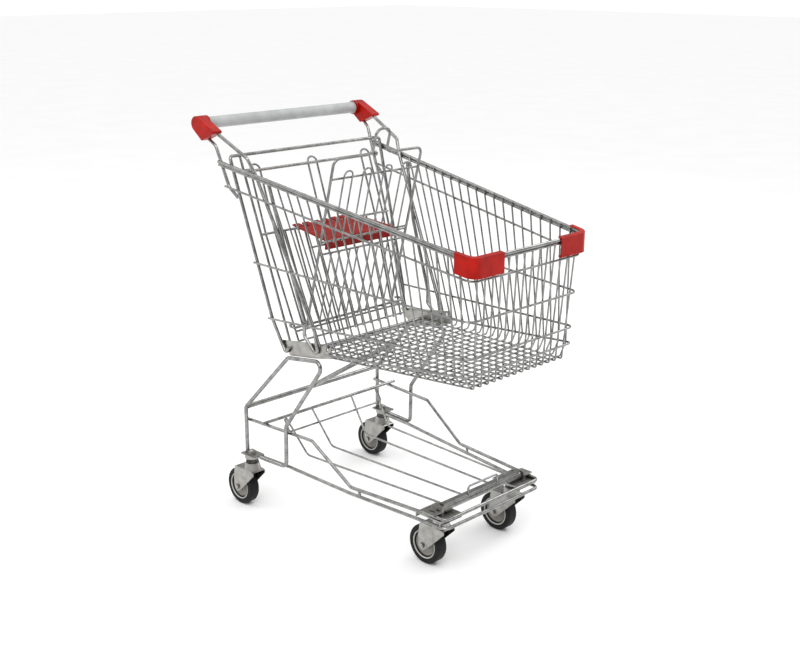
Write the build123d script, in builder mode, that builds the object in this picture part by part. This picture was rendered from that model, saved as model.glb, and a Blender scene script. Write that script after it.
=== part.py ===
"""Shopping trolley with a folding child seat and a lower shelf, in millimetres.

+X is the direction of travel, +Z is up, and the origin is on the floor under the middle of the trolley.
Right is the -Y side and left is the +Y side.
"""

import os
from math import atan, cos, radians, sin

from build123d import *

# Wheels and casters
WHEEL_RADIUS = 47.0
TYRE_WIDTH = 29.0
HUB_RADIUS = 35.0
HUB_WIDTH = 24.0
AXLE_RADIUS = 5.0
TRAIL = 40.0
FORK_INNER = 17.0
FORK_SHEET = 2.5
FORK_TOP = 103.0
DOME_FOOT, DOME_TOP, DOME_HEIGHT = 22.0, 17.0, 18.0
NECK_RADIUS = 13.0
RACE_RADIUS, RACE_HEIGHT = 18.0, 8.0
KINGPIN_RADIUS = 6.0
RUNNING_FIT = 0.05
REAR_PIVOT_X, REAR_PIVOT_Y = -278.0, 226.0
FRONT_PIVOT_X, FRONT_PIVOT_Y = 274.0, 123.0
REAR_PLATE_Z = 141.0
FRONT_PLATE_Z = 136.9
PLATE_SHEET = 3.0

# Rods and wires
LEG_ROD = 5.0
BAR_ROD = 6.0
FRAME_ROD = 4.0
RIM_LOWER_ROD = 3.0
RING_WIRE = 2.5
MESH_WIRE = 2.0
TOUCH = 0.02

# Basket: each side wall is one leaning plane, given by the axis of its top rod
WALL_Y, WALL_PER_X, WALL_PER_Z = 192.4, -0.0841, 0.0339
RIM_Z0, RIM_SLOPE = 814.7, -0.165
FRONT_TOP_X, FRONT_TOP_Z, FRONT_LEAN = 402.0, 750.0, 0.0571
RIM_REAR_X = -333.0
UPRIGHT_INSET = 8.6
REAR_INSET = 8.1
WIRE_INSET = 6.05
LOWER_INSET = 1.0
RING_INSET = 1.5
BASE_Z0, BASE_SLOPE = 460.4, 0.0909
FLOOR_Y0, FLOOR_SLOPE_Y = 198.2, -0.1215
FLOOR_Z0, FLOOR_SLOPE_Z = 452.0, 0.0394
SIDE_WIRES = 19
TOP_PITCH, TOP_LAST = 30.6, 368.8
FOOT_PITCH, FOOT_LAST = 22.5, 377.5
FRONT_WIRES = 14
FRONT_PITCH = 22.7
FRONT_FAN = 1.1
REAR_FAN = 1.325
FLOOR_JOINT_X = 374.0
FLOOR_BAR_X, FLOOR_BAR_Z, FLOOR_BAR_ROD = -97.0, 446.0, 5.0
PLATE_IN, PLATE_OUT = 198.1, 201.1

# Rear uprights and gate; the gate is laid out by distance down its slope and distance in front
CROSS_X, CROSS_Z = -303.0, 884.0
UPRIGHT_SLOPE = 0.347
GATE_TOP_Z = 845.0
GATE_ROD = 3.5
GATE_WIRE = 2.5
STOP_ROD = 3.0
GATE_ROD_FRONT = 6.85
GATE_WIRE_FRONT = 0.83
SEAT_WIRE_DOWN, SEAT_WIRE_FRONT, SEAT_WIRE = 151.0, 6.35, 3.0
HINGE_DOWN = 377.0
GATE_END = 420.0
GATE_TAPER = 0.89
HAIRPIN_Y = 177.0
HAIRPIN_HALF = 14.0

# Child seat
SEAT_LEAN = 14.6
SEAT_FRONT = 9.0
SEAT_ROD = 3.25
SEAT_HALF = 140.0
SEAT_TOP = 421.0
HUMP_TOP = 481.0
HUMP_HALF = 22.0
SEAT_CROSS = 9.5
SEAT_WIRES_FRONT = 14.02
SEAT_LOOPS = (-92.0, -33.0, 33.0, 92.0)
SEAT_LOOP_HALF = 13.0
HOOK_RADIUS = 9.0
FLAP_TILT = -6.4
FLAP_LENGTH = 120.0
FLAP_BACK = -19.0
FLAP_LIP = 24.0
FLAP_SHEET = 4.0

# Handle
GRIP_X, GRIP_Z = -395.5, 953.0
GRIP_RADIUS = 14.0
CORE_RADIUS = 11.0
GRIP_HALF = 234.0
CAP_RADIUS = 18.0
CAP_END = 267.0

# Lower shelf
SHELF_AXIS_X, SHELF_AXIS_Z = 283.0, 150.0
SHELF_BAR_X, SHELF_BAR_Z = -232.0, 234.7
SHELF_PIN = 5.5
SHELF_TUBE = 8.0
SHELF_WIRE = 2.5


def rounded_line(points, bend, closed=False):
    """Straight runs through the points, with each corner rounded to the bend radius."""
    corners = [Vector(*p) for p in points]
    count = len(corners)
    inner = range(count) if closed else range(1, count - 1)
    starts = {}
    ends = {}
    middles = {}
    for i in inner:
        before = (corners[i - 1] - corners[i]).normalized()
        after = (corners[(i + 1) % count] - corners[i]).normalized()
        half = radians(before.get_angle(after)) / 2
        run = bend / (sin(half) / cos(half))
        starts[i] = corners[i] + before * run
        ends[i] = corners[i] + after * run
        axis = (before + after).normalized()
        middles[i] = corners[i] + axis * (bend / sin(half) - bend)
    with BuildLine() as line:
        for i in range(count if closed else count - 1):
            j = (i + 1) % count
            a = ends.get(i, corners[i])
            b = starts.get(j, corners[j])
            Line(a, b)
            if j in middles:
                ThreePointArc(starts[j], middles[j], ends[j])
    return line.wires()[0]


def rod(points, radius, bend=10.0, closed=False):
    """A round rod of one radius, bent through the points."""
    path = rounded_line(points, bend, closed)
    with BuildPart() as bar:
        with BuildSketch(Plane(origin=path @ 0, z_dir=path % 0)):
            Circle(radius)
        sweep(path=path)
    return bar.part


def straight(a, b, radius):
    """A straight round rod between two points."""
    start = Vector(*a)
    span = Vector(*b) - start
    with BuildPart() as bar:
        with BuildSketch(Plane(origin=start, z_dir=span)):
            Circle(radius)
        extrude(amount=span.length)
    return bar.part


def pair(points):
    """The same bent line on the right and on the left side."""
    return [[(x, -y, z) for x, y, z in points], [(x, y, z) for x, y, z in points]]


def export(node, name):
    """Writes one node."""
    node.part.label = name
    export_step(node.part, f"parts/{name}.step")


os.makedirs("parts", exist_ok=True)

# ---------------------------------------------------------------- leg frames and rails
LEG_LINE = [
    (-297.0, 225.0, REAR_PLATE_Z + PLATE_SHEET + TOUCH),
    (-297.0, 225.0, 262.0),
    (-151.0, 206.4, 419.5),
    (-14.0, 206.4, 440.0),
    (-156.0, 214.0, 245.0),
    (-158.0, 214.0, 139.5),
    (-249.4, 221.0, 139.5),
]
for name, line in zip(("leg_frame_right", "leg_frame_left"), pair(LEG_LINE)):
    with BuildPart() as leg_frame:
        add(rod(line, LEG_ROD, 16.0))
    export(leg_frame, name)

# The bar between the rear legs, and the brace from its middle up to the basket floor
with BuildPart() as rear_crossbar:
    add(straight((-297.0, -219.5, 262.0), (-297.0, 219.5, 262.0), BAR_ROD))
export(rear_crossbar, "rear_crossbar")
with BuildPart() as floor_strut:
    add(straight((-297.0, 0.0, 264.0), (-4.0, 0.0, 444.0), BAR_ROD))
    with Locations((-297.0, 0.0, 262.0)):
        Cylinder(BAR_ROD, 40.0, rotation=(90, 0, 0), mode=Mode.SUBTRACT)
        Box(14.0, 40.0, 14.0, mode=Mode.SUBTRACT)
export(floor_strut, "floor_strut")

RAIL_FRONT_X = 323.0
RAIL_FRONT_Y = 158.5
BASE_RAIL = [
    (-262.0, 212.0, 136.9),
    (-158.0, 204.6, 137.2),
    (46.0, 188.5, 128.0),
    (RAIL_FRONT_X, RAIL_FRONT_Y, 123.0),
]
SHELF_RAIL = [
    (-300.0, 215.7, 226.6),
    (-79.0, 197.8, 226.6),
    (46.0, 188.5, 144.0),
    (RAIL_FRONT_X, RAIL_FRONT_Y, 144.0),
]
for name, half in (("base_rail", BASE_RAIL), ("shelf_rail", SHELF_RAIL)):
    right, left = pair(half)
    with BuildPart() as rail:
        add(rod(right + left[::-1], FRAME_ROD, 14.0))
        if name == "base_rail":
            for side in (-1, 1):
                add(straight((73.0, side * 185.5, 128.0), (73.0, side * 185.5, 139.9), 3.5))
    export(rail, name)

# ---------------------------------------------------------------- caster plates
with BuildPart() as rear_caster_plates:
    with BuildSketch(Plane.XY.offset(REAR_PLATE_Z)):
        with Locations((REAR_PIVOT_X + 2.0, -REAR_PIVOT_Y), (REAR_PIVOT_X + 2.0, REAR_PIVOT_Y)):
            RectangleRounded(52.0, 36.0, 3.0)
        with Locations((REAR_PIVOT_X, -REAR_PIVOT_Y), (REAR_PIVOT_X, REAR_PIVOT_Y)):
            Circle(KINGPIN_RADIUS + 0.1, mode=Mode.SUBTRACT)
    extrude(amount=PLATE_SHEET)
export(rear_caster_plates, "rear_caster_plates")

# Pressed channels that sit between the two rails and carry the front casters
PRESSING_LENGTH = 76.0
PRESSING_IN, PRESSING_OUT = 96.0, 166.0
PRESSING_FOOT = 129.0
with BuildPart() as front_caster_plates:
    for side in (-1, 1):
        middle = side * (PRESSING_IN + PRESSING_OUT) / 2
        with Locations((FRONT_PIVOT_X, middle, (PRESSING_FOOT + FRONT_PLATE_Z + PLATE_SHEET) / 2)):
            Box(PRESSING_LENGTH, PRESSING_OUT - PRESSING_IN, FRONT_PLATE_Z + PLATE_SHEET - PRESSING_FOOT)
        with Locations((FRONT_PIVOT_X, middle, (PRESSING_FOOT + FRONT_PLATE_Z) / 2 - 1.0)):
            Box(
                PRESSING_LENGTH - 6.0,
                PRESSING_OUT - PRESSING_IN + 2.0,
                FRONT_PLATE_Z - PRESSING_FOOT + 2.0,
                mode=Mode.SUBTRACT,
            )
        with Locations((FRONT_PIVOT_X, side * FRONT_PIVOT_Y, FRONT_PLATE_Z)):
            Cylinder(KINGPIN_RADIUS + 0.1, 20.0, mode=Mode.SUBTRACT)
export(front_caster_plates, "front_caster_plates")

# Kingpins: head under the fork, stem through the neck and plate, domed nut on top
PIVOTS = {
    "rear_right": (REAR_PIVOT_X, -REAR_PIVOT_Y, REAR_PLATE_Z),
    "rear_left": (REAR_PIVOT_X, REAR_PIVOT_Y, REAR_PLATE_Z),
    "front_right": (FRONT_PIVOT_X, -FRONT_PIVOT_Y, FRONT_PLATE_Z),
    "front_left": (FRONT_PIVOT_X, FRONT_PIVOT_Y, FRONT_PLATE_Z),
}
PIN_HEAD_Z = FORK_TOP - 10.0
with BuildPart() as caster_kingpins:
    for x, y, plate_z in PIVOTS.values():
        top = plate_z + PLATE_SHEET + TOUCH
        with Locations((x, y, PIN_HEAD_Z)):
            Cylinder(10.0, 5.0, align=(Align.CENTER, Align.CENTER, Align.MIN))
            Cylinder(KINGPIN_RADIUS, top + 1.0 - PIN_HEAD_Z, align=(Align.CENTER, Align.CENTER, Align.MIN))
        with Locations((x, y, top)):
            Cylinder(11.0, 1.6, align=(Align.CENTER, Align.CENTER, Align.MIN))
        if plate_z == REAR_PLATE_Z:
            with BuildSketch(Plane.XY.offset(top + 1.6)):
                with Locations((x, y)):
                    RegularPolygon(9.5, 6)
            extrude(amount=6.0)
            with Locations((x, y, top + 7.6)):
                Sphere(8.0, arc_size1=0)
export(caster_kingpins, "caster_kingpins")

# ---------------------------------------------------------------- casters
CHEEK_LINE = [
    (24.0, FORK_TOP),
    (26.0, 94.0),
    (-28.0, 40.0),
    (-40.0, 34.0),
    (-51.0, 41.0),
    (-53.0, 70.0),
    (-48.0, FORK_TOP),
]
for name, (x, y, plate_z) in PIVOTS.items():
    cheek = [(x + a, z) for a, z in CHEEK_LINE]
    wheel_x = x - TRAIL
    neck_top = plate_z - 0.35
    outer = FORK_INNER + FORK_SHEET
    with BuildPart() as fork:
        with BuildSketch(Plane.XZ.offset(-y - outer)):
            with BuildLine():
                Polyline(*cheek, close=True)
            make_face()
        extrude(amount=2 * outer)
        fillet(fork.edges().filter_by(Axis.Y), 5.0)
        with Locations((x - 20.0, y, FORK_TOP - FORK_SHEET - 50.0)):
            Box(140.0, 2 * FORK_INNER, 100.0, mode=Mode.SUBTRACT)
        with Locations((x, y, FORK_TOP)):
            Cone(DOME_FOOT, DOME_TOP, DOME_HEIGHT, align=(Align.CENTER, Align.CENTER, Align.MIN))
            Cylinder(NECK_RADIUS, neck_top - FORK_TOP, align=(Align.CENTER, Align.CENTER, Align.MIN))
        with Locations((x, y, neck_top)):
            Cylinder(RACE_RADIUS, RACE_HEIGHT, align=(Align.CENTER, Align.CENTER, Align.MAX))
        with Locations((x, y, FORK_TOP)):
            Cylinder(KINGPIN_RADIUS + RUNNING_FIT, 90.0, mode=Mode.SUBTRACT)
        with Locations((wheel_x, y, WHEEL_RADIUS)):
            Cylinder(AXLE_RADIUS + TOUCH, 60.0, rotation=(90, 0, 0), mode=Mode.SUBTRACT)
    export(fork, f"fork_{name}")
    with BuildPart() as axle_bolt:
        with Locations((wheel_x, y, WHEEL_RADIUS)):
            Cylinder(AXLE_RADIUS, 2 * outer + 2.0, rotation=(90, 0, 0))
        for side in (-1, 1):
            with BuildSketch(Plane.XZ.offset(-y - side * (outer + TOUCH))):
                with Locations((wheel_x, WHEEL_RADIUS)):
                    RegularPolygon(6.6, 6)
            extrude(amount=-side * 3.8)
    export(axle_bolt, f"axle_bolt_{name}")
    with BuildPart() as hub:
        with BuildSketch(Plane.XZ.offset(-y)) as rim_face:
            with Locations((wheel_x, WHEEL_RADIUS)):
                Circle(HUB_RADIUS)
        extrude(amount=HUB_WIDTH / 2, both=True)
        for side in (-1, 1):
            with BuildSketch(Plane.XZ.offset(-y - side * HUB_WIDTH / 2)):
                with Locations((wheel_x, WHEEL_RADIUS)):
                    Circle(HUB_RADIUS - 4.0)
                    Circle(11.0, mode=Mode.SUBTRACT)
            extrude(amount=side * 7.0, mode=Mode.SUBTRACT)
        with Locations((wheel_x, y, WHEEL_RADIUS)):
            Cylinder(11.0, 2 * FORK_INNER - 1.2, rotation=(90, 0, 0))
            Cylinder(AXLE_RADIUS + RUNNING_FIT, 60.0, rotation=(90, 0, 0), mode=Mode.SUBTRACT)
    export(hub, f"hub_{name}")
    with BuildPart() as tyre:
        with BuildSketch(Plane.XZ.offset(-y)):
            with Locations((wheel_x, WHEEL_RADIUS)):
                Circle(WHEEL_RADIUS)
                Circle(HUB_RADIUS + TOUCH, mode=Mode.SUBTRACT)
        extrude(amount=TYRE_WIDTH / 2, both=True)
        treads = tyre.edges().filter_by(GeomType.CIRCLE).group_by(SortBy.RADIUS)[-1]
        fillet(treads, 5.0)
    export(tyre, f"tyre_{name}")

# ---------------------------------------------------------------- shelf hinge at the front
with BuildPart() as shelf_hinge_brackets:
    for side in (-1, 1):
        with Locations((SHELF_AXIS_X, side * 141.0, 150.0)):
            Box(26.0, 4.0, 20.0)
        with Locations((SHELF_AXIS_X - 4.0, side * 155.5, 149.6)):
            Box(34.0, 30.0, 3.0)
        with BuildSketch(Plane.XY.offset(146.0)):
            with Locations((SHELF_AXIS_X - 4.0, side * 157.0)):
                SlotOverall(16.0, 6.0)
        extrude(amount=8.0, mode=Mode.SUBTRACT)
        with Locations((SHELF_AXIS_X, side * 141.0, SHELF_AXIS_Z)):
            Cylinder(SHELF_PIN + TOUCH, 10.0, rotation=(90, 0, 0), mode=Mode.SUBTRACT)
export(shelf_hinge_brackets, "shelf_hinge_brackets")
with BuildPart() as shelf_hinge_rod:
    ends = [(SHELF_AXIS_X, y, SHELF_AXIS_Z) for y in (-143.6, 143.6)]
    add(straight(*ends, SHELF_PIN))
export(shelf_hinge_rod, "shelf_hinge_rod")

# ---------------------------------------------------------------- lower shelf
with BuildPart() as shelf_hinge_tube:
    with BuildSketch(Plane.XZ):
        with Locations((SHELF_AXIS_X, SHELF_AXIS_Z)):
            Circle(SHELF_TUBE)
            Circle(SHELF_PIN + RUNNING_FIT, mode=Mode.SUBTRACT)
    extrude(amount=137.0, both=True)
export(shelf_hinge_tube, "shelf_hinge_tube")

# Bar the shelf rests on, with the thin wire hung below it
SHELF_TAIL = [
    (-230.5, 157.6, 229.6),
    (-212.5, 157.6, 199.8),
]
with BuildPart() as shelf_rear_bar:
    add(straight((SHELF_BAR_X, -226.0, SHELF_BAR_Z), (SHELF_BAR_X, 226.0, SHELF_BAR_Z), FRAME_ROD))
    right, left = pair(SHELF_TAIL)
    add(rod(right + left[::-1], SHELF_WIRE, 6.0))
export(shelf_rear_bar, "shelf_rear_bar")

with BuildPart() as shelf_wires:
    for top_y, knee_y, front_y in ((153.0, 139.0, 112.0), (67.0, 58.5, 45.0)):
        for side in (-1, 1):
            run = [
                (-229.4, side * top_y, 231.2),
                (-166.0, side * knee_y, 147.0),
                (274.8, side * front_y, 152.0),
            ]
            add(rod(run, SHELF_WIRE, 18.0))
export(shelf_wires, "shelf_wires")

# Flat bar welded along the top of the hinge tube, with the loop the shelf is lifted by
with BuildPart() as shelf_front_bar:
    with Locations((SHELF_AXIS_X, 0.0, SHELF_AXIS_Z + SHELF_TUBE + TOUCH)):
        Box(12.0, 262.0, 5.0, align=(Align.CENTER, Align.CENTER, Align.MIN))
    loop = [
        (289.0, -50.0, 160.0),
        (289.0, -50.0, 181.0),
        (289.0, 50.0, 181.0),
        (289.0, 50.0, 160.0),
    ]
    add(rod(loop, SHELF_WIRE, 7.0))
export(shelf_front_bar, "shelf_front_bar")


# ---------------------------------------------------------------- basket
def wall(x, z, inset=0.0):
    """Half the basket's width at one place on the side wall."""
    return WALL_Y + WALL_PER_X * x + WALL_PER_Z * z - inset


def front(z):
    """Where the upright wires of the front wall stand at one height."""
    return FRONT_TOP_X + FRONT_LEAN * (z - FRONT_TOP_Z)


def rim_z(x):
    """Height of the top rod of the rim."""
    return RIM_Z0 + RIM_SLOPE * x


def hoop(rear_x, rear_z, front_z, inset, front_gap, radius, bend):
    """A rod round both sides and the front of the basket, lying on the wall planes."""
    front_x = front(front_z) + front_gap
    right, left = pair(
        [
            (rear_x, wall(rear_x, rear_z, inset), rear_z),
            (front_x, wall(front_x, front_z, inset), front_z),
        ]
    )
    return rod(right + left[::-1], radius, bend)


RIM_FRONT_X = FRONT_TOP_X + WIRE_INSET
RIM_FRONT_Z = rim_z(RIM_FRONT_X)
LOWER_DROP = 7.15
RING_GAP = WIRE_INSET - RING_INSET
with BuildPart() as rim_top_rod:
    gap = RIM_FRONT_X - front(RIM_FRONT_Z)
    add(hoop(RIM_REAR_X, rim_z(RIM_REAR_X), RIM_FRONT_Z, 0.0, gap, FRAME_ROD, 20.0))
export(rim_top_rod, "rim_top_rod")
with BuildPart() as rim_lower_rod:
    low_rear, low_front = rim_z(RIM_REAR_X) - LOWER_DROP, RIM_FRONT_Z - LOWER_DROP
    gap = WIRE_INSET - LOWER_INSET
    add(hoop(RIM_REAR_X, low_rear, low_front, LOWER_INSET, gap, RIM_LOWER_ROD, 19.0))
export(rim_lower_rod, "rim_lower_rod")

# Ring wires round the outside of the basket: where each starts, its height there and at the front
RINGS = (
    (-318.0, 813.5, 702.0, 22.0),
    (-235.0, 642.0, 616.0, 22.0),
    (-196.5, 512.0, 534.5, 20.0),
    (-14.0, BASE_Z0 - 14.0 * BASE_SLOPE, 496.0, 16.0),
)
with BuildPart() as ring_wires:
    for rear_x, rear_z, front_z, bend in RINGS:
        add(hoop(rear_x, rear_z, front_z, RING_INSET, RING_GAP, RING_WIRE, bend))
export(ring_wires, "ring_wires")


def floor_y(x):
    """Half the width of the basket floor."""
    return FLOOR_Y0 + FLOOR_SLOPE_Y * x


def floor_z(x):
    """Height of the wires across the floor."""
    return FLOOR_Z0 + FLOOR_SLOPE_Z * x


# Upright wires of the sides; all but the rearmost two turn in under the basket
FLOOR_TURN = 10.0
PLATE_TOP_Z = 474.0
with BuildPart() as side_wires:
    for i in range(SIDE_WIRES):
        top_x = TOP_LAST - TOP_PITCH * (SIDE_WIRES - 1 - i)
        foot_x = FOOT_LAST - FOOT_PITCH * (SIDE_WIRES - 1 - i)
        top_z = rim_z(top_x) + 1.5
        foot_z = BASE_Z0 + BASE_SLOPE * foot_x
        top = (top_x, wall(top_x, top_z, WIRE_INSET), top_z)
        foot = (foot_x, wall(foot_x, foot_z, WIRE_INSET), foot_z)
        edge = (foot_x, floor_y(foot_x), floor_z(foot_x))
        turn = (foot_x, floor_y(foot_x) - FLOOR_TURN, floor_z(foot_x))
        run = [top, foot, edge, turn]
        if i < 2:
            share = (top_z - PLATE_TOP_Z) / (top_z - foot_z)
            run = [top, tuple(a + (b - a) * share for a, b in zip(top, foot))]
        for line in pair(run):
            add(rod(line, MESH_WIRE, 5.0))
export(side_wires, "side_wires")

with BuildPart() as floor_cross_wires:
    for i in range(2, SIDE_WIRES):
        x = FOOT_LAST - FOOT_PITCH * (SIDE_WIRES - 1 - i)
        half = floor_y(x) - FLOOR_TURN - TOUCH
        add(straight((x, -half, floor_z(x)), (x, half, floor_z(x)), MESH_WIRE))
    for i in range(-2, 2):
        x = FOOT_LAST - FOOT_PITCH * (SIDE_WIRES - 1 - i)
        half = PLATE_IN - TOUCH
        add(straight((x, -half, floor_z(x)), (x, half, floor_z(x)), MESH_WIRE))
export(floor_cross_wires, "floor_cross_wires")

# Upright wires of the front, turned back into the lengthwise wires that lie under the cross wires
LAYER = 2 * MESH_WIRE + TOUCH
with BuildPart() as front_wires:
    for i in range(FRONT_WIRES):
        y = FRONT_PITCH * (i - (FRONT_WIRES - 1) / 2)
        foot_z = floor_z(front(477.0)) - LAYER
        top_z = RIM_FRONT_Z + 1.5
        line = [
            (front(top_z), y * FRONT_FAN, top_z),
            (front(foot_z), y, foot_z),
            (FLOOR_JOINT_X, y, floor_z(FLOOR_JOINT_X) - LAYER),
        ]
        add(rod(line, MESH_WIRE, 5.0))
export(front_wires, "front_wires")
with BuildPart() as floor_long_wires:
    for i in range(FRONT_WIRES):
        y = FRONT_PITCH * (i - (FRONT_WIRES - 1) / 2)
        rear_x = FLOOR_BAR_X + FLOOR_BAR_ROD + 0.2
        fore = (FLOOR_JOINT_X - 0.2, y, floor_z(FLOOR_JOINT_X) - LAYER)
        rear = (rear_x, y * REAR_FAN, floor_z(rear_x) - LAYER)
        add(straight(fore, rear, MESH_WIRE))
export(floor_long_wires, "floor_long_wires")

with BuildPart() as rear_floor_bar:
    half = PLATE_IN - TOUCH
    add(straight((FLOOR_BAR_X, -half, FLOOR_BAR_Z), (FLOOR_BAR_X, half, FLOOR_BAR_Z), FLOOR_BAR_ROD))
export(rear_floor_bar, "rear_floor_bar")

# Side plates that tie the uprights, the floor and the leg frames together
PLATE_LINE = [
    (-181.0, 457.0),
    (-104.0, 468.0),
    (-15.0, 481.0),
    (-3.0, 479.0),
    (-2.0, 450.0),
    (-57.0, 439.0),
    (-148.0, 425.0),
]
for name, side in (("side_plate_right", -1), ("side_plate_left", 1)):
    with BuildPart() as side_plate:
        with BuildSketch(Plane.XZ.offset(-side * PLATE_IN)):
            with BuildLine():
                Polyline(*PLATE_LINE, close=True)
            make_face()
        extrude(amount=-side * (PLATE_OUT - PLATE_IN))
        fillet(side_plate.edges().filter_by(Axis.Y), 1.5)
        with Locations((-16.0, side * (PLATE_IN + PLATE_OUT) / 2, 471.0)):
            Box(5.0, 10.0, 12.0, mode=Mode.SUBTRACT)
    export(side_plate, name)

# ---------------------------------------------------------------- rear posts and uprights
CAP_Y = 252.0
REAR_POST = [
    (-385.0, CAP_Y, 929.0),
    (-349.0, wall(-349.0, 905.0, REAR_INSET), 905.0),
    (-312.0, wall(-312.0, 812.0, REAR_INSET), 812.0),
    (-283.4, wall(-283.4, 789.5, REAR_INSET), 789.5),
]
with BuildPart() as rear_posts:
    for line in pair(REAR_POST):
        add(rod(line, FRAME_ROD, 18.0))
export(rear_posts, "rear_posts")

UPRIGHT_ROD = 4.25
LOOP_Y = PLATE_OUT + UPRIGHT_ROD + TOUCH
UPRIGHT_LINE = [
    (-364.0, CAP_Y, 949.0),
    (-237.0, 240.0, 886.5),
    (-219.0, wall(-219.0, 850.0, UPRIGHT_INSET), 850.0),
    (-53.0, LOOP_Y, 505.0),
    (-39.0, LOOP_Y, 440.0),
    (-90.0, LOOP_Y, 488.0),
    (-88.0, LOOP_Y - 1.0, 521.0),
    (-147.0, wall(-147.0, 690.0, 17.4), 690.0),
    (-183.0, wall(-183.0, 836.0, 12.4), 836.0),
]
with BuildPart() as main_uprights:
    for line in pair(UPRIGHT_LINE):
        add(rod(line, UPRIGHT_ROD, 8.0))
export(main_uprights, "main_uprights")

# One rod across the top of the rear, down both sides, and hooked against the side plates
HOOK_Y = PLATE_OUT + FRAME_ROD + TOUCH
TOP_ROD = [
    (-146.0, HOOK_Y, 446.0),
    (-159.0, HOOK_Y, 429.0),
    (-172.0, HOOK_Y, 450.0),
    (-190.5, wall(-190.5, 511.0, REAR_INSET), 511.0),
    (CROSS_X, wall(CROSS_X, CROSS_Z, REAR_INSET), CROSS_Z),
]
with BuildPart() as rear_top_rod:
    right, left = pair(TOP_ROD)
    add(rod(right + left[::-1], FRAME_ROD, 7.0))
export(rear_top_rod, "rear_top_rod")

# ---------------------------------------------------------------- gate
gate_tilt = atan(UPRIGHT_SLOPE)
GATE_ORIGIN = Vector(CROSS_X + UPRIGHT_SLOPE * (CROSS_Z - GATE_TOP_Z), 0, GATE_TOP_Z)
GATE_DOWN = Vector(sin(gate_tilt), 0, -cos(gate_tilt))
GATE_FORE = Vector(cos(gate_tilt), 0, sin(gate_tilt))


def gate(y, down, fore):
    """A place on the gate."""
    spot = GATE_ORIGIN + GATE_DOWN * down + GATE_FORE * fore
    return (spot.X, y, spot.Z)


# Fixed uprights the gate hangs from and closes against, with an eye for each end of its top rod
STOP_TOP_Y, STOP_FOOT_Y = 211.0, PLATE_IN - STOP_ROD - 0.25
STOP_TOP, STOP_FOOT = -37.1, 412.5
EYE_RADIUS = 6.6
with BuildPart() as gate_stop_uprights:
    for side in (-1, 1):
        add(straight(gate(side * STOP_TOP_Y, STOP_TOP, 0), gate(side * STOP_FOOT_Y, STOP_FOOT, 0), STOP_ROD))
        with Locations(gate(side * 206.5, 0, GATE_ROD_FRONT)):
            Cylinder(EYE_RADIUS, 9.0, rotation=(90, 0, 0))
            Cylinder(GATE_ROD + RUNNING_FIT, 9.0, rotation=(90, 0, 0), mode=Mode.SUBTRACT)
export(gate_stop_uprights, "gate_stop_uprights")

with BuildPart() as gate_top_rod:
    add(straight(gate(-212.0, 0, GATE_ROD_FRONT), gate(212.0, 0, GATE_ROD_FRONT), GATE_ROD))
export(gate_top_rod, "gate_top_rod")

LOOP_RISE = 15.5
GATE_YS = (43.8, 73.6, 103.4, 133.2)
with BuildPart() as gate_wires:
    for centre in (-HAIRPIN_Y, 0.0, HAIRPIN_Y):
        a, b = centre - HAIRPIN_HALF, centre + HAIRPIN_HALF
        loop = [
            gate(a * GATE_TAPER, GATE_END, GATE_WIRE_FRONT),
            gate(a, SEAT_WIRE_DOWN, GATE_WIRE_FRONT),
            gate(a, -LOOP_RISE, GATE_WIRE_FRONT),
            gate(b, -LOOP_RISE, GATE_WIRE_FRONT),
            gate(b, SEAT_WIRE_DOWN, GATE_WIRE_FRONT),
            gate(b * GATE_TAPER, GATE_END, GATE_WIRE_FRONT),
        ]
        add(rod(loop, GATE_WIRE, HAIRPIN_HALF - 0.5))
    for y in GATE_YS:
        for side in (-1, 1):
            top = gate(side * y, SEAT_WIRE_DOWN - 3.0, GATE_WIRE_FRONT)
            add(straight(top, gate(side * y * GATE_TAPER, GATE_END, GATE_WIRE_FRONT), GATE_WIRE))
export(gate_wires, "gate_wires")

with BuildPart() as gate_cross_wires:
    add(
        straight(
            gate(-205.0, SEAT_WIRE_DOWN, SEAT_WIRE_FRONT),
            gate(205.0, SEAT_WIRE_DOWN, SEAT_WIRE_FRONT),
            SEAT_WIRE,
        )
    )
    front_of_wires = GATE_WIRE_FRONT + 2 * GATE_WIRE + TOUCH
    for down, half in ((HINGE_DOWN + 14.0, 178.0), (GATE_END - 5.0, 174.0)):
        add(straight(gate(-half, down, front_of_wires), gate(half, down, front_of_wires), GATE_WIRE))
export(gate_cross_wires, "gate_cross_wires")

# ---------------------------------------------------------------- child seat back
SEAT_ORIGIN = Vector(*gate(0, HINGE_DOWN, GATE_WIRE_FRONT))
SEAT_UP = Vector(sin(radians(SEAT_LEAN)), 0, cos(radians(SEAT_LEAN)))
SEAT_FORE = Vector(cos(radians(SEAT_LEAN)), 0, -sin(radians(SEAT_LEAN)))


def seat(y, up, fore):
    """A place on the seat back."""
    spot = SEAT_ORIGIN + SEAT_UP * up + SEAT_FORE * fore
    return (spot.X, y, spot.Z)


# The bottom rod hooks round the gate's outermost wires at both ends
HOOK_SHARE = (HINGE_DOWN - SEAT_WIRE_DOWN) / (GATE_END - SEAT_WIRE_DOWN)
HOOK_CENTRE = (HAIRPIN_Y + HAIRPIN_HALF) * (1 - (1 - GATE_TAPER) * HOOK_SHARE)
with BuildPart() as seat_back_hinge_rod:
    hook = [
        (HOOK_CENTRE - 2.0, -SEAT_FRONT),
        (HOOK_CENTRE + HOOK_RADIUS, -SEAT_FRONT),
        (HOOK_CENTRE + HOOK_RADIUS, SEAT_FRONT),
    ]
    ends = [seat(y, 0, fore) for y, fore in hook]
    others = [seat(-y, 0, fore) for y, fore in hook]
    add(rod(others + ends[::-1], 3.0, HOOK_RADIUS - 0.3))
export(seat_back_hinge_rod, "seat_back_hinge_rod")

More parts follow.
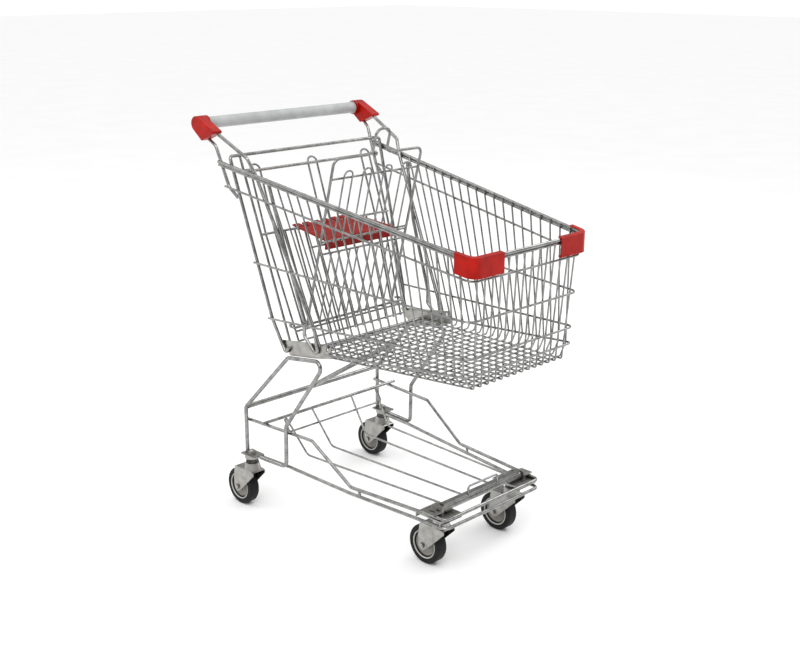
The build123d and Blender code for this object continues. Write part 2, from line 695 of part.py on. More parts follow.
with BuildPart() as seat_back_frame:
    outline = [
        (SEAT_HALF, 3.05),
        (SEAT_HALF, SEAT_TOP),
        (HUMP_HALF, SEAT_TOP),
        (HUMP_HALF, HUMP_TOP),
    ]
    right = [seat(-y, up, SEAT_FRONT) for y, up in outline]
    left = [seat(y, up, SEAT_FRONT) for y, up in outline]
    add(rod(right + left[::-1], SEAT_ROD, 17.0))
export(seat_back_frame, "seat_back_frame")

SEAT_LEVELS = (184.0, 216.0, 372.0)
with BuildPart() as seat_back_cross_wires:
    for up in SEAT_LEVELS:
        half = SEAT_HALF - SEAT_ROD - TOUCH
        add(straight(seat(-half, up, SEAT_CROSS), seat(half, up, SEAT_CROSS), GATE_WIRE))
export(seat_back_cross_wires, "seat_back_cross_wires")

with BuildPart() as seat_back_wires:
    for centre in SEAT_LOOPS:
        a, b = centre - SEAT_LOOP_HALF, centre + SEAT_LOOP_HALF
        corners = ((a, SEAT_LEVELS[1] - 2.0), (a, 390.0), (b, 390.0), (b, SEAT_LEVELS[1] - 2.0))
        add(rod([seat(y, up, SEAT_WIRES_FRONT) for y, up in corners], MESH_WIRE, SEAT_LOOP_HALF - 0.5))
        for y in (a, b):
            foot = seat(y, -2.0, SEAT_WIRES_FRONT)
            add(straight(foot, seat(y, SEAT_LEVELS[0] + 2.0, SEAT_WIRES_FRONT), MESH_WIRE))
export(seat_back_wires, "seat_back_wires")

# ---------------------------------------------------------------- seat plate
FLAP_PIVOT = Vector(*gate(0, SEAT_WIRE_DOWN, SEAT_WIRE_FRONT))
FLAP_RUN = Vector(cos(radians(FLAP_TILT)), 0, sin(radians(FLAP_TILT)))
FLAP_NORMAL = Vector(-sin(radians(FLAP_TILT)), 0, cos(radians(FLAP_TILT)))
FLAP_LIFT = 0.5
KNUCKLE = 5.5
SLOT_HALF = 5.0
FLAP_SLOTS = (HAIRPIN_HALF, GATE_YS[0], GATE_YS[1])


def flap(run, y, up):
    """A place on the seat plate."""
    spot = FLAP_PIVOT + FLAP_RUN * run + FLAP_NORMAL * up
    return (spot.X, y, spot.Z)


with BuildPart() as seat_plate:
    with BuildSketch(Plane(origin=flap(0, 0, FLAP_LIFT), x_dir=FLAP_RUN, z_dir=FLAP_NORMAL)):
        with BuildLine():
            Polyline(
                (FLAP_BACK, -98.6),
                (FLAP_LENGTH, -112.0),
                (FLAP_LENGTH, 112.0),
                (FLAP_BACK, 98.6),
                close=True,
            )
        make_face()
    extrude(amount=FLAP_SHEET)
    lip_foot = FLAP_LIFT + FLAP_SHEET - FLAP_LIP
    with BuildSketch(Plane(origin=flap(0, 0, lip_foot), x_dir=FLAP_RUN, z_dir=FLAP_NORMAL)):
        with Locations((FLAP_LENGTH - 1.75, 0.0)):
            Rectangle(3.5, 223.4)
    extrude(amount=FLAP_LIP)
    with Locations(Plane(origin=flap(0, 0, 0), x_dir=FLAP_RUN, z_dir=FLAP_NORMAL)):
        Cylinder(KNUCKLE, 196.0, rotation=(90, 0, 0))
        for y in FLAP_SLOTS:
            for side in (-1, 1):
                with Locations((-9.0, side * y, 0.0)):
                    Box(42.0, 2 * SLOT_HALF, 30.0, mode=Mode.SUBTRACT)
        Cylinder(SEAT_WIRE + RUNNING_FIT, 300.0, rotation=(90, 0, 0), mode=Mode.SUBTRACT)
export(seat_plate, "seat_plate")

with BuildPart() as seat_plate_rod:
    reach = FLAP_LENGTH - 3.5 - GATE_WIRE - TOUCH
    add(straight(flap(reach, -152.0, -8.0), flap(reach, 152.0, -8.0), GATE_WIRE))
export(seat_plate_rod, "seat_plate_rod")

# ---------------------------------------------------------------- handle
with BuildPart() as handle_core_tube:
    with BuildSketch(Plane.XZ):
        with Locations((GRIP_X, GRIP_Z)):
            Circle(CORE_RADIUS)
            Circle(CORE_RADIUS - 2.0, mode=Mode.SUBTRACT)
    extrude(amount=CAP_END - 6.0, both=True)
export(handle_core_tube, "handle_core_tube")

with BuildPart() as handle_grip:
    with BuildSketch(Plane.XZ):
        with Locations((GRIP_X, GRIP_Z)):
            Circle(GRIP_RADIUS)
            Circle(CORE_RADIUS + TOUCH, mode=Mode.SUBTRACT)
    extrude(amount=GRIP_HALF, both=True)
export(handle_grip, "handle_grip")

NOSE_CORNERS = ((-331.5, 938.5), (-375.0, 919.5))
NOSE_EDGE = 3.5
NECK_HALF = 13.0
for name, side in (("handle_cap_right", -1), ("handle_cap_left", 1)):
    with BuildPart() as handle_cap:
        with BuildSketch(Plane.XZ.offset(-side * (CAP_END - 2 * NECK_HALF))):
            with Locations((GRIP_X, GRIP_Z)):
                Circle(CAP_RADIUS)
            with Locations(*NOSE_CORNERS):
                Circle(NOSE_EDGE)
            make_hull()
        extrude(amount=-side * 2 * NECK_HALF)
        fillet(handle_cap.faces().sort_by(Axis.Y)[0 if side < 0 else -1].edges(), 3.0)
        with BuildSketch(Plane.XZ.offset(-side * (GRIP_HALF + TOUCH))):
            with Locations((GRIP_X, GRIP_Z)):
                Circle(CAP_RADIUS)
        extrude(amount=-side * (CAP_END - 2 * NECK_HALF - GRIP_HALF))
        with BuildSketch(Plane.XZ):
            with Locations((GRIP_X, GRIP_Z)):
                Circle(CORE_RADIUS + TOUCH)
        extrude(amount=-side * (CAP_END - 6.0 + TOUCH), mode=Mode.SUBTRACT)
        for line, radius in ((REAR_POST, FRAME_ROD), (UPRIGHT_LINE, UPRIGHT_ROD)):
            inner, outer = (Vector(x, side * y, z) for x, y, z in line[:2])
            deep = inner + (inner - outer).normalized() * TOUCH
            add(straight(deep, outer, radius + TOUCH), mode=Mode.SUBTRACT)
    export(handle_cap, name)

# ---------------------------------------------------------------- corner bumpers
BUMPER_SKIN = 2.6
BUMPER_CLEAR = FRAME_ROD + 0.1
BUMPER_DEEP = 37.0
BUMPER_SIDE_X, BUMPER_FRONT_Y = 366.0, 94.0
BUMPER_BEND = 20.0


def corner_band(side, inner, outer, low, high):
    """Part of a bumper that runs round the corner, set out from the axis of the rim's top rod."""
    with BuildPart() as band:
        with BuildSketch(Plane.XY.offset(RIM_FRONT_Z - 80.0)) as plan:
            for gap, back, mode in ((outer, 0.0, Mode.ADD), (inner, 9.0, Mode.SUBTRACT)):
                x0, x1 = BUMPER_SIDE_X - back, RIM_FRONT_X + gap
                y0 = BUMPER_FRONT_Y - back
                corners = [(x0, y0), (x1, y0)]
                corners += [(x, wall(x, rim_z(x)) + gap) for x in (x1, x0)]
                Polygon(*[(x, side * y) for x, y in corners], align=None, mode=mode)
            for gap in (outer, inner):
                spot = Vector(RIM_FRONT_X + gap, side * (wall(RIM_FRONT_X, RIM_FRONT_Z) + gap), 0)
                corner = min(plan.vertices(), key=lambda v: (v.X - spot.X) ** 2 + (v.Y - spot.Y) ** 2)
                fillet(corner, BUMPER_BEND + gap)
        extrude(amount=160.0)
        with BuildSketch(Plane.XZ):
            edges = [(BUMPER_SIDE_X - 20.0, low), (RIM_FRONT_X + 20.0, low)]
            edges += [(RIM_FRONT_X + 20.0, high), (BUMPER_SIDE_X - 20.0, high)]
            Polygon(*[(x, rim_z(x) + v) for x, v in edges], align=None)
        extrude(amount=300.0, both=True, mode=Mode.INTERSECT)
    return band.part


for name, side in (("bumper_right", -1), ("bumper_left", 1)):
    out = BUMPER_CLEAR + BUMPER_SKIN
    with BuildPart() as bumper:
        add(corner_band(side, BUMPER_CLEAR, out, -BUMPER_DEEP, out))
        add(corner_band(side, -5.0, out, BUMPER_CLEAR + 0.1, out))
        add(corner_band(side, -2.5, out, -BUMPER_DEEP, BUMPER_SKIN - BUMPER_DEEP))
    export(bumper, name)
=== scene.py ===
"""Shopping trolley: looks, small fittings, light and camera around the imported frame."""

import random
from math import atan, cos, pi, radians, sin

import bmesh
import bpy
from mathutils import Matrix, Vector


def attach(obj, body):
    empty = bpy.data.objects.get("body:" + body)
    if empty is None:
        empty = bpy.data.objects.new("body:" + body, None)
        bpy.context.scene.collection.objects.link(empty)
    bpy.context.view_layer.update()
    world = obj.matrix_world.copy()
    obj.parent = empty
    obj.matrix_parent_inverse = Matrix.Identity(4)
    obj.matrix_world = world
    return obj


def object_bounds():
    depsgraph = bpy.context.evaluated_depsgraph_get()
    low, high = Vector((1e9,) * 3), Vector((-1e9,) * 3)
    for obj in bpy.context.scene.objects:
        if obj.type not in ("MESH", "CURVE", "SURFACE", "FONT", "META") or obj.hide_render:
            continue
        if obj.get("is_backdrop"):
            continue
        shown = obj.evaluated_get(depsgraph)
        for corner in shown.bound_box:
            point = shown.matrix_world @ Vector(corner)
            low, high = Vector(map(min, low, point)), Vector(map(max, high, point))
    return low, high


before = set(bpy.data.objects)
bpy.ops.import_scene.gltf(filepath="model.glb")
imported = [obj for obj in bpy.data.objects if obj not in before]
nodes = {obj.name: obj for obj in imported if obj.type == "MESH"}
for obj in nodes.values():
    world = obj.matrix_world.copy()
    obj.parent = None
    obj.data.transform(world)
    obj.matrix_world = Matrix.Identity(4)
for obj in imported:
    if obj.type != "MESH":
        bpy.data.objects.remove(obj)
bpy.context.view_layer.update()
MM = 0.001

# ------------------------------------------------------------------ materials


def material(name, base, metallic, roughness):
    """A principled material, its shader and its node tree, ready for procedural detail."""
    mat = bpy.data.materials.new(name)
    mat.use_nodes = True
    tree = mat.node_tree
    shader = tree.nodes["Principled BSDF"]
    shader.inputs["Base Color"].default_value = (*base, 1.0)
    shader.inputs["Metallic"].default_value = metallic
    shader.inputs["Roughness"].default_value = roughness
    return mat, tree, shader


def noise(tree, scale, detail=4.0, rough=0.55, stretch=(1.0, 1.0, 1.0)):
    """Object-space noise, stretched along the axes if asked."""
    place = tree.nodes.new("ShaderNodeTexCoord")
    mapping = tree.nodes.new("ShaderNodeMapping")
    mapping.inputs["Scale"].default_value = stretch
    tree.links.new(place.outputs["Object"], mapping.inputs["Vector"])
    tex = tree.nodes.new("ShaderNodeTexNoise")
    tex.inputs["Scale"].default_value = scale
    tex.inputs["Detail"].default_value = detail
    tex.inputs["Roughness"].default_value = rough
    tree.links.new(mapping.outputs["Vector"], tex.inputs["Vector"])
    return tex.outputs["Fac"]


def ramp(tree, source, stops):
    """A colour ramp over a value."""
    node = tree.nodes.new("ShaderNodeValToRGB")
    band = node.color_ramp
    while len(band.elements) < len(stops):
        band.elements.new(0.5)
    for element, (at, colour) in zip(band.elements, stops):
        element.position = at
        element.color = (*colour, 1.0)
    tree.links.new(source, node.inputs["Fac"])
    return node.outputs["Color"]


def span(tree, source, low, high, start=0.3, end=0.7):
    """Maps a value from start-end to low-high."""
    node = tree.nodes.new("ShaderNodeMapRange")
    node.inputs["From Min"].default_value = start
    node.inputs["From Max"].default_value = end
    node.inputs["To Min"].default_value = low
    node.inputs["To Max"].default_value = high
    tree.links.new(source, node.inputs["Value"])
    return node.outputs["Result"]


def bump(tree, shader, source, distance, strength=1.0):
    """Surface relief from a value."""
    node = tree.nodes.new("ShaderNodeBump")
    node.inputs["Distance"].default_value = distance
    node.inputs["Strength"].default_value = strength
    tree.links.new(source, node.inputs["Height"])
    tree.links.new(node.outputs["Normal"], shader.inputs["Normal"])


def zinc(name, dark, light, rough_low, rough_high, spangle):
    """Bright zinc plating: cloudy tone, drawn-wire texture and finger-worn gloss."""
    mat, tree, shader = material(name, light, 1.0, rough_low)
    cloud = noise(tree, 55.0, 5.0, 0.6)
    tree.links.new(ramp(tree, cloud, [(0.32, dark), (0.62, light)]), shader.inputs["Base Color"])
    wear = noise(tree, 18.0, 3.0, 0.5)
    tree.links.new(span(tree, wear, rough_low, rough_high), shader.inputs["Roughness"])
    bump(tree, shader, noise(tree, spangle, 3.0, 0.6), 0.00012, 0.5)
    return mat


rod_metal = zinc("zinc_rod", (0.19, 0.193, 0.187), (0.345, 0.347, 0.338), 0.17, 0.30, 900.0)
wire_metal = zinc("zinc_wire", (0.17, 0.173, 0.167), (0.315, 0.317, 0.309), 0.17, 0.30, 1200.0)
sheet_metal = zinc("zinc_sheet", (0.27, 0.265, 0.248), (0.39, 0.382, 0.36), 0.20, 0.36, 420.0)
weld_metal = zinc("weld_bead", (0.07, 0.07, 0.066), (0.20, 0.195, 0.185), 0.34, 0.55, 700.0)
# The ball race is coloured near black as painted shade: its dark colour stands in for the shade in the
# swivel's gap between the fork's neck and the caster's plate.
race_painted_shade_metal = zinc("ball_race_painted_shade", (0.030, 0.029, 0.027), (0.10, 0.098, 0.092), 0.30, 0.50, 600.0)


def plastic(name, dark, light, rough_low, rough_high, grain):
    """Moulded plastic with a fine eroded grain and scuffed gloss."""
    mat, tree, shader = material(name, light, 0.0, rough_low)
    cloud = noise(tree, 24.0, 4.0, 0.55)
    tree.links.new(ramp(tree, cloud, [(0.35, dark), (0.65, light)]), shader.inputs["Base Color"])
    scuff = noise(tree, 60.0, 5.0, 0.65)
    tree.links.new(span(tree, scuff, rough_low, rough_high), shader.inputs["Roughness"])
    bump(tree, shader, noise(tree, grain, 2.0, 0.5), 0.0002, 0.6)
    shader.inputs["Specular IOR Level"].default_value = 0.16
    return mat


red = plastic("red_plastic", (0.26, 0.003, 0.001), (0.42, 0.006, 0.001), 0.28, 0.44, 1500.0)
red_seat = plastic("red_seat_plastic", (0.20, 0.004, 0.001), (0.30, 0.008, 0.003), 0.36, 0.54, 1100.0)
grip_grey = plastic("grip_plastic", (0.36, 0.37, 0.37), (0.46, 0.47, 0.47), 0.30, 0.46, 1400.0)
hub_grey = plastic("hub_plastic", (0.030, 0.030, 0.029), (0.060, 0.060, 0.057), 0.40, 0.58, 1300.0)
hub_face = plastic("hub_face_plastic", (0.19, 0.18, 0.16), (0.30, 0.285, 0.26), 0.36, 0.55, 1200.0)
hub_ring = plastic("hub_ring_plastic", (0.42, 0.42, 0.40), (0.56, 0.56, 0.54), 0.30, 0.45, 1300.0)


def rubber(name):
    """Black tyre rubber, greyed a little where it has picked up dust."""
    mat, tree, shader = material(name, (0.006, 0.006, 0.007), 0.0, 0.5)
    shader.inputs["Specular IOR Level"].default_value = 0.18
    dust = noise(tree, 34.0, 6.0, 0.62)
    tone = ramp(tree, dust, [(0.42, (0.005, 0.005, 0.006)), (0.80, (0.022, 0.021, 0.019))])
    tree.links.new(tone, shader.inputs["Base Color"])
    tree.links.new(span(tree, dust, 0.42, 0.68), shader.inputs["Roughness"])
    bump(tree, shader, noise(tree, 1600.0, 3.0, 0.6), 0.0002, 0.7)
    return mat


tyre_rubber = rubber("tyre_rubber")

# Starts of the names of the nodes in plated sheet and in thin wire; the other metal nodes are rods
SHEETS = (
    "fork_", "side_plate", "rear_caster", "front_caster", "shelf_hinge_brackets", "caster_kingpins",
    "axle_bolt",
)
WIRES = ("ring_wires", "side_wires", "floor_", "front_wires", "gate_wires", "gate_cross", "seat_back")


def look(name):
    """The material of one CAD node."""
    if name.startswith("tyre_"):
        return tyre_rubber
    if name.startswith("hub_"):
        return hub_grey
    if name.startswith(("handle_cap", "bumper")):
        return red
    if name == "seat_plate":
        return red_seat
    if name == "handle_grip":
        return grip_grey
    if name.startswith(SHEETS):
        return sheet_metal
    if name.startswith(WIRES) and name != "floor_strut":
        return wire_metal
    return rod_metal


for name, obj in nodes.items():
    obj.data.materials.clear()
    obj.data.materials.append(look(name))

# ------------------------------------------------------------------ small pieces built in mesh code


def piece(name, verts, faces, mat, body):
    """A smooth-shaded mesh piece, in millimetres, that moves with one body."""
    mesh = bpy.data.meshes.new(name)
    mesh.from_pydata([Vector(v) * MM for v in verts], [], faces)
    mesh.shade_smooth()
    mesh.materials.append(mat)
    obj = bpy.data.objects.new(name, mesh)
    bpy.context.scene.collection.objects.link(obj)
    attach(obj, body)


def turned(profile, centre, axis, steps=48):
    """Vertices and faces of a closed profile of (radius, height) turned about an axis through the centre."""
    axis = Vector(axis).normalized()
    side = axis.orthogonal().normalized()
    other = axis.cross(side)
    verts, faces = [], []
    count = len(profile)
    for i in range(steps):
        a = 2 * pi * i / steps
        out = side * cos(a) + other * sin(a)
        for radius, height in profile:
            verts.append(Vector(centre) + out * radius + axis * height)
        for j in range(count):
            k, n = (j + 1) % count, (i + 1) % steps
            faces.append((i * count + j, n * count + j, n * count + k, i * count + k))
    return verts, faces


def round_profile(radius, height, thick, steps=12):
    """A round ring section at one radius and height."""
    turns = [2 * pi * k / steps for k in range(steps)]
    return [(radius + thick * cos(a), height + thick * sin(a)) for a in turns]


def beads(name, spots, size, mat, body):
    """Small uneven weld beads, flattened a little, one at each spot."""
    ball = bmesh.new()
    bmesh.ops.create_icosphere(ball, subdivisions=2, radius=1.0)
    shape = [v.co.copy() for v in ball.verts]
    facets = [tuple(v.index for v in f.verts) for f in ball.faces]
    ball.free()
    dice = random.Random(len(name) + len(spots))
    verts, faces = [], []
    for spot in spots:
        start = len(verts)
        turn = Matrix.Rotation(dice.uniform(0, pi), 3, Vector((dice.random(), dice.random(), 1.0)))
        wide = [size * dice.uniform(0.85, 1.15) for _ in range(3)]
        for p in shape:
            verts.append(turn @ Vector((p.x * wide[0], p.y * wide[1], p.z * wide[2])) + Vector(spot))
        faces += [tuple(start + k for k in f) for f in facets]
    piece(name, verts, faces, mat, body)


def hoop_z(x, rear_x, rear_z, front_x, front_z):
    """Height of a straight rod along the basket's side."""
    return rear_z + (front_z - rear_z) * (x - rear_x) / (front_x - rear_x)


def wall(x, z, inset):
    """Half the basket's width on the side wall."""
    return 192.4 - 0.0841 * x + 0.0339 * z - inset


def front(z):
    """Where the front wires stand at one height."""
    return 402.0 + 0.0571 * (z - 750.0)


def rim_z(x):
    """Height of the rim."""
    return 814.7 - 0.165 * x


def floor_z(x):
    """Height of the wires across the basket floor."""
    return 452.0 + 0.0394 * x


RIM_REAR_X, RIM_FRONT_X = -333.0, 408.0
# The lower of the two rim rods lies this far under the upper one and this far inside it
LOWER_DROP, LOWER_INSET = 7.15, 1.0
TOP_ROD, LOWER_ROD = 4.0, 3.0
# Rods round the basket: rear end, rear height, front height, inset of the rod and its radius
HOOPS = (
    (RIM_REAR_X, rim_z(RIM_REAR_X) - LOWER_DROP, rim_z(RIM_FRONT_X) - LOWER_DROP, LOWER_INSET, LOWER_ROD),
    (-318.0, 813.5, 702.0, 1.5, 2.5),
    (-235.0, 642.0, 616.0, 1.5, 2.5),
    (-196.5, 512.0, 534.5, 1.5, 2.5),
    (-14.0, 459.1, 496.0, 1.5, 2.5),
)
SIDE_COUNT, FRONT_COUNT = 19, 14
# Foremost side wire and the pitch of the side wires, at the rim and at the floor
TOP_X, TOP_PITCH = 368.8, 30.6
FOOT_X, FOOT_PITCH = 377.5, 22.5
FRONT_PITCH = 22.7
FRONT_FOOT_Z = 463.0
# The side wires end a little above the rim's centre line, and their feet rise towards the front
SIDE_TOP_RISE = 1.5
SIDE_FOOT_Z, SIDE_FOOT_RISE = 460.4, 0.0909
HOOP_PAST_FRONT = 5.0
FRONT_WELD_AHEAD = 2.2
FRONT_SPREAD = 0.1
HALVINGS = 30


def foot(i):
    """Where one side wire, counted from the rear, meets the floor."""
    return FOOT_X - FOOT_PITCH * (SIDE_COUNT - 1 - i)


def front_y(j):
    """Where one front wire, counted from the right, stands at the floor."""
    return FRONT_PITCH * (j - (FRONT_COUNT - 1) / 2)


welds = []
for i in range(SIDE_COUNT):
    top_x, foot_x = TOP_X - TOP_PITCH * (SIDE_COUNT - 1 - i), foot(i)
    top_z, foot_z = rim_z(top_x) + SIDE_TOP_RISE, SIDE_FOOT_Z + SIDE_FOOT_RISE * foot_x
    for rear_x, rear_z, front_z, inset, rod in HOOPS:
        # Halves the wire's length until it finds where the wire crosses the hoop
        low, high = 0.0, 1.0
        front_x = front(front_z) + HOOP_PAST_FRONT
        for _ in range(HALVINGS):
            middle = (low + high) / 2
            x, z = top_x + (foot_x - top_x) * middle, top_z + (foot_z - top_z) * middle
            if z > hoop_z(x, rear_x, rear_z, front_x, front_z):
                low = middle
            else:
                high = middle
        past_rear = x < rear_x + 4.0
        at_side_plate = i < 2 and z < 476.0
        past_foot = high > 0.985
        if past_rear or at_side_plate or past_foot:
            continue
        y = wall(x, z, inset + rod)
        welds += [(x, side * y, z) for side in (-1, 1)]
for j in range(FRONT_COUNT):
    for _, _, front_z, _, _ in HOOPS:
        share = (front_z - FRONT_FOOT_Z) / (rim_z(RIM_FRONT_X) - FRONT_FOOT_Z)
        welds.append((front(front_z) + FRONT_WELD_AHEAD, front_y(j) * (1 + FRONT_SPREAD * share), front_z))
beads("basket_welds", welds, 1.9, weld_metal, "chassis")

# The floor's long wires fan out from the front to the rear
FAN, FAN_FRONT_X, FAN_REAR_X = 0.325, 374.0, -92.0
grid = []
for i in range(2, SIDE_COUNT):
    x = foot(i)
    for j in range(FRONT_COUNT):
        fan = 1.0 + FAN * (FAN_FRONT_X - x) / (FAN_FRONT_X - FAN_REAR_X)
        grid.append((x, front_y(j) * fan, floor_z(x) - 2.0))
beads("floor_welds", grid, 1.7, weld_metal, "chassis")

# Gate and seat back, laid out by distance down the gate's slope and in front of it
GATE_RUN = 0.347
SLOPE = atan(GATE_RUN)
DOWN = Vector((sin(SLOPE), 0.0, -cos(SLOPE)))
FORE = Vector((cos(SLOPE), 0.0, sin(SLOPE)))
GATE_TOP_Z = 845.0
GATE = Vector((-303.0 + GATE_RUN * (884.0 - GATE_TOP_Z), 0.0, GATE_TOP_Z))
GATE_SEAT_WIRE, GATE_END = 151.0, 420.0
GATE_TAPER = 0.11
GATE_WELD_FORE = 3.4


def gate(y, down, fore):
    """A place on the gate."""
    return GATE + DOWN * down + FORE * fore + Vector((0.0, y, 0.0))


def taper(down):
    """How far the gate's wires have closed in at one distance down the slope."""
    return 1.0 - GATE_TAPER * max(0.0, down - GATE_SEAT_WIRE) / (GATE_END - GATE_SEAT_WIRE)


GATE_WIRES = (14.0, 43.8, 73.6, 103.4, 133.2, 163.0, 191.0)
gate_spots = []
for y in GATE_WIRES:
    for side in (-1, 1):
        gate_spots.append(gate(side * y, GATE_SEAT_WIRE, GATE_WELD_FORE))
        for down in (391.0, 415.0):
            gate_spots.append(gate(side * y * taper(down), down, GATE_WELD_FORE))
for y in (GATE_WIRES[0], *GATE_WIRES[-2:]):
    gate_spots += [gate(side * y, 0.0, GATE_WELD_FORE) for side in (-1, 1)]
beads("gate_welds", gate_spots, 1.8, weld_metal, "gate")

# The seat back leans forward from its hinge on the gate
LEAN = radians(14.6)
UP = Vector((sin(LEAN), 0.0, cos(LEAN)))
AHEAD = Vector((cos(LEAN), 0.0, -sin(LEAN)))
SEAT = gate(0.0, 377.0, 0.83)
SEAT_LOOPS, LOOP_HALF = (-92.0, -33.0, 33.0, 92.0), 13.0
SEAT_BARS = (184.0, 216.0, 372.0)
SEAT_WELD_AHEAD = 12.0
seat_spots = []
for centre in SEAT_LOOPS:
    for y in (centre - LOOP_HALF, centre + LOOP_HALF):
        for up in SEAT_BARS:
            seat_spots.append(SEAT + UP * up + AHEAD * SEAT_WELD_AHEAD + Vector((0.0, y, 0.0)))
beads("seat_welds", seat_spots, 1.7, weld_metal, "seat_back")

# Fillets of weld metal where the shelf's wires end on the flat bar and the rear bar
SHELF_REAR, SHELF_FRONT = (-229.9, 232.0), (274.6, 152.2)
shelf_spots = []
for rear_y, bar_y in ((153.0, 112.0), (67.0, 45.0)):
    for side in (-1, 1):
        for (x, z), y in ((SHELF_REAR, rear_y), (SHELF_FRONT, bar_y)):
            shelf_spots.append((x, side * y, z))
beads("shelf_welds", shelf_spots, 2.6, weld_metal, "shelf")

# ------------------------------------------------------------------ wheels and swivels

WHEEL_RADIUS, TRAIL = 47.0, 40.0
# Foot of the swivel axis of each caster: x, y and the height of its plate's top
PIVOTS = {
    "rear_right": (-278.0, -226.0, 141.0),
    "rear_left": (-278.0, 226.0, 141.0),
    "front_right": (274.0, -123.0, 136.9),
    "front_left": (274.0, 123.0, 136.9),
}
# Dished wheel centre with two raised ridges, from the boss out to the rim
DISH = [
    (11.3, 5.2), (11.3, 10.6), (12.4, 11.4), (13.8, 11.2), (14.9, 9.2), (18.0, 8.1), (22.0, 7.9), (24.4, 8.5),
    (25.2, 9.7), (26.6, 9.9), (27.6, 8.8), (29.2, 8.4), (30.0, 7.2), (30.4, 5.2),
]
# Radius, height off the wheel's middle plane and half thickness
HUB_RING = (33.1, 12.6, 1.5)
SIDEWALL_BEAD = (40.6, 14.35, 0.55)
RACE_FOOT_Z, RACE_GAP = 121.3, 8.6
RACE_BORE, RACE_WAIST, RACE_EDGE, RACE_LIP = 13.1, 15.0, 15.4, 16.2
for name, (x, y, plate) in PIVOTS.items():
    body = "wheel_" + name
    for side, end in ((-1, "outer"), (1, "inner")):
        spot = (x - TRAIL, y, WHEEL_RADIUS)
        verts, faces = turned(DISH, spot, (0, side, 0), 64)
        piece(f"hub_face_{name}_{end}", verts, faces, hub_face, body)
        verts, faces = turned(round_profile(*HUB_RING), spot, (0, side, 0), 72)
        piece(f"hub_ring_{name}_{end}", verts, faces, hub_ring, body)
        verts, faces = turned(round_profile(*SIDEWALL_BEAD, 8), spot, (0, side, 0), 80)
        piece(f"sidewall_bead_{name}_{end}", verts, faces, tyre_rubber, body)
    # The ring between neck and plate is near black: painted shade for the swivel's gap.
    race_top_z = plate - RACE_GAP
    middle = (RACE_FOOT_Z + race_top_z) / 2
    half = (race_top_z - RACE_FOOT_Z) / 2
    ring = [
        (RACE_BORE, -half), (RACE_EDGE, -half), (RACE_LIP, -half * 0.55), (RACE_WAIST, -half * 0.2),
        (RACE_WAIST, half * 0.2), (RACE_LIP, half * 0.55), (RACE_EDGE, half), (RACE_BORE, half),
    ]
    verts, faces = turned(ring, (x, y, middle), (0, 0, 1), 56)
    piece(f"ball_race_painted_shade_{name}", verts, faces, race_painted_shade_metal, "caster_" + name)

# ------------------------------------------------------------------ handle and rod ends

GRIP_X, GRIP_Z, COLLAR_Y = -395.5, 953.0, 229.6
# Section of the ridge round each end of the grip
COLLAR = [(14.06, 0.0), (15.1, 0.4), (15.5, 1.6), (15.1, 2.8), (14.06, 3.2)]
# Share of a rod's radius by which its end is domed, how far the dome's foot sits in the rod, and the
# hair of radius left open at its axis
DOME, DOME_SINK, AXIS_GAP = 0.45, 0.6, 0.05
RIM_AIM_X = 400.0
for side, word in ((-1, "right"), (1, "left")):
    verts, faces = turned(COLLAR, (GRIP_X, side * COLLAR_Y, GRIP_Z), (0, side, 0), 56)
    piece(f"grip_collar_{word}", verts, faces, grip_grey, "chassis")
    rear, ahead = (Vector((x, side * wall(x, rim_z(x), 0.0), rim_z(x))) for x in (RIM_REAR_X, RIM_AIM_X))
    run = (rear - ahead).normalized()
    for drop, inset, rod, row in ((0.0, 0.0, TOP_ROD, "top"), (LOWER_DROP, LOWER_INSET, LOWER_ROD, "lower")):
        dome = [(AXIS_GAP, rod * DOME)]
        for step in range(1, 9):
            a = step * pi / 16
            dome.append((rod * sin(a), rod * DOME * cos(a)))
        dome += [(rod, -DOME_SINK), (AXIS_GAP, -DOME_SINK)]
        spot = rear - Vector((0.0, side * inset, drop))
        verts, faces = turned(dome, spot, run, 24)
        piece(f"rim_end_{row}_{word}", verts, faces, weld_metal, "chassis")

# ------------------------------------------------------------------ stage, light and camera


LIGHT_AIM = (0.0, 0.0, 0.5)


def area(name, place, width, height, power):
    """A soft rectangular light that faces the trolley."""
    lamp = bpy.data.lights.new(name, "AREA")
    lamp.shape = "RECTANGLE"
    lamp.size = width
    lamp.size_y = height
    lamp.energy = power
    obj = bpy.data.objects.new(name, lamp)
    bpy.context.scene.collection.objects.link(obj)
    obj.location = place
    obj.rotation_euler = (Vector(LIGHT_AIM) - Vector(place)).to_track_quat("-Z", "Y").to_euler()


area("key_light", (1.6, -2.6, 3.2), 2.2, 2.2, 60.0)
area("fill_light", (-2.6, -1.6, 2.0), 2.0, 2.0, 16.0)
area("back_light", (0.4, 3.0, 2.6), 2.4, 1.6, 30.0)

world = bpy.data.worlds.new("studio")
world.use_nodes = True
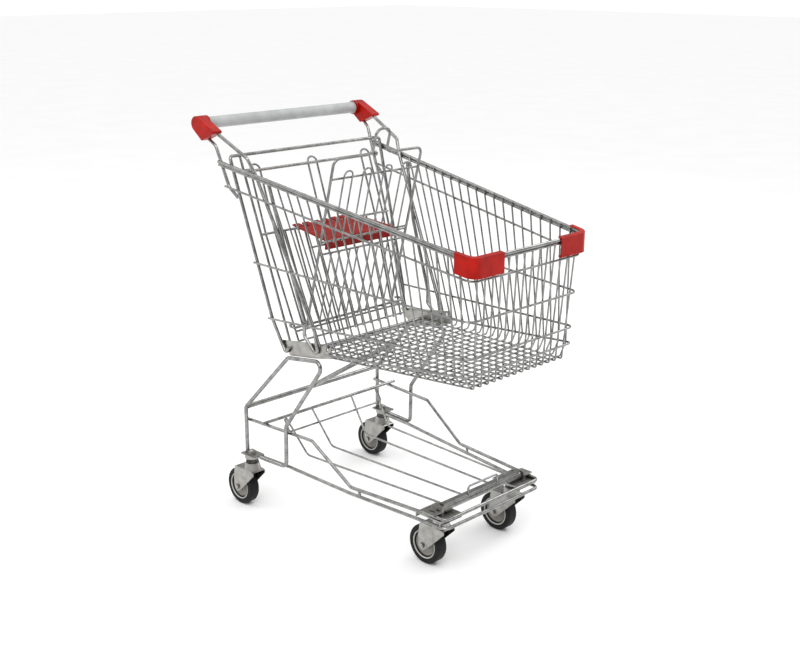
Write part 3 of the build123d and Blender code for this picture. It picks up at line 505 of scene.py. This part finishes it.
# White below and overhead with a greyer band between, which gives round metal its dark and light sides
sky = world.node_tree
place = sky.nodes.new("ShaderNodeTexCoord")
parts = sky.nodes.new("ShaderNodeSeparateXYZ")
sky.links.new(place.outputs["Generated"], parts.inputs["Vector"])
GREY = (0.24, 0.24, 0.24)
WHITE = (1.0, 1.0, 1.0)
SKY_STRENGTH = 1.3
bands = [(0.0, WHITE), (0.05, WHITE), (0.14, GREY), (0.44, GREY), (0.60, WHITE)]
sky.links.new(ramp(sky, parts.outputs["Z"], bands), sky.nodes["Background"].inputs["Color"])
sky.nodes["Background"].inputs["Strength"].default_value = SKY_STRENGTH
bpy.context.scene.world = world

FLOOR_SIZE, FLOOR_DROP = 60.0, 0.0005
bpy.ops.mesh.primitive_plane_add(size=FLOOR_SIZE, location=(0.0, 0.0, -FLOOR_DROP))
floor = bpy.context.object
floor.name = "studio_floor"
floor_mat, floor_tree, floor_shader = material("studio_floor", (0.94, 0.94, 0.94), 0.0, 0.7)
floor_tone = ramp(floor_tree, noise(floor_tree, 3.0), [(0.3, (0.93, 0.93, 0.93)), (0.7, (0.96, 0.96, 0.96))])
floor_tree.links.new(floor_tone, floor_shader.inputs["Base Color"])
floor.data.materials.append(floor_mat)
floor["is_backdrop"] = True

AZIMUTH, ELEVATION, ROLL = radians(45.23), radians(17.03), radians(0.10)
DISTANCE = 2.821
TARGET = Vector((0.018, 0.0, 0.479))
SENSOR_MM, LENS_MM = 36.0, 53.46
camera_data = bpy.data.cameras.new("camera")
camera_data.sensor_width = SENSOR_MM
camera_data.lens = LENS_MM
camera = bpy.data.objects.new("camera", camera_data)
bpy.context.scene.collection.objects.link(camera)
back = Vector((sin(AZIMUTH) * cos(ELEVATION), -cos(AZIMUTH) * cos(ELEVATION), sin(ELEVATION)))
turn = back.to_track_quat("Z", "Y").to_matrix().to_4x4()
camera.matrix_world = Matrix.Translation(TARGET + back * DISTANCE) @ turn @ Matrix.Rotation(ROLL, 4, "Z")
bpy.context.scene.camera = camera
bpy.context.scene.view_settings.view_transform = "Standard"

low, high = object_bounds()
